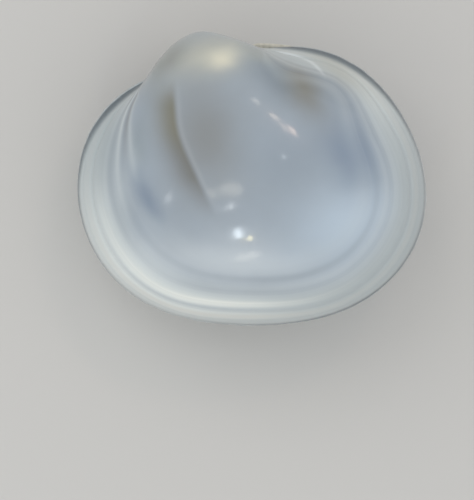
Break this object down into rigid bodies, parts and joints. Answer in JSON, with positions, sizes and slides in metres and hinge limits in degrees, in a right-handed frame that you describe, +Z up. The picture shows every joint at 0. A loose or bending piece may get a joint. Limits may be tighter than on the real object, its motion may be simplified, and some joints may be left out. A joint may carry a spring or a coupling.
{
  "type": "small clam shell",
  "caption": "Closed bivalve shell, small, inflated and thin-walled, with rounded beaks and a glossy milky surface, lying on its right valve.",
  "frame": {"origin": "on the ground under the middle of the shell's box, in its rest pose", "axes": "+X towards the shell's rear end, along its length; +Y towards the hinge and beaks; +Z up, through the left valve"},
  "size_m": [0.0108, 0.0092, 0.007],
  "materials": {
    "valve_shell": "glossy, milky and thin enough to let some light through",
    "ligament_horn": "smooth, horny brown"
  },
  "bodies": {
    "root": {"left_valve": "valve_shell", "right_valve": "valve_shell", "ligament": "ligament_horn"}
  },
  "joints": []
}
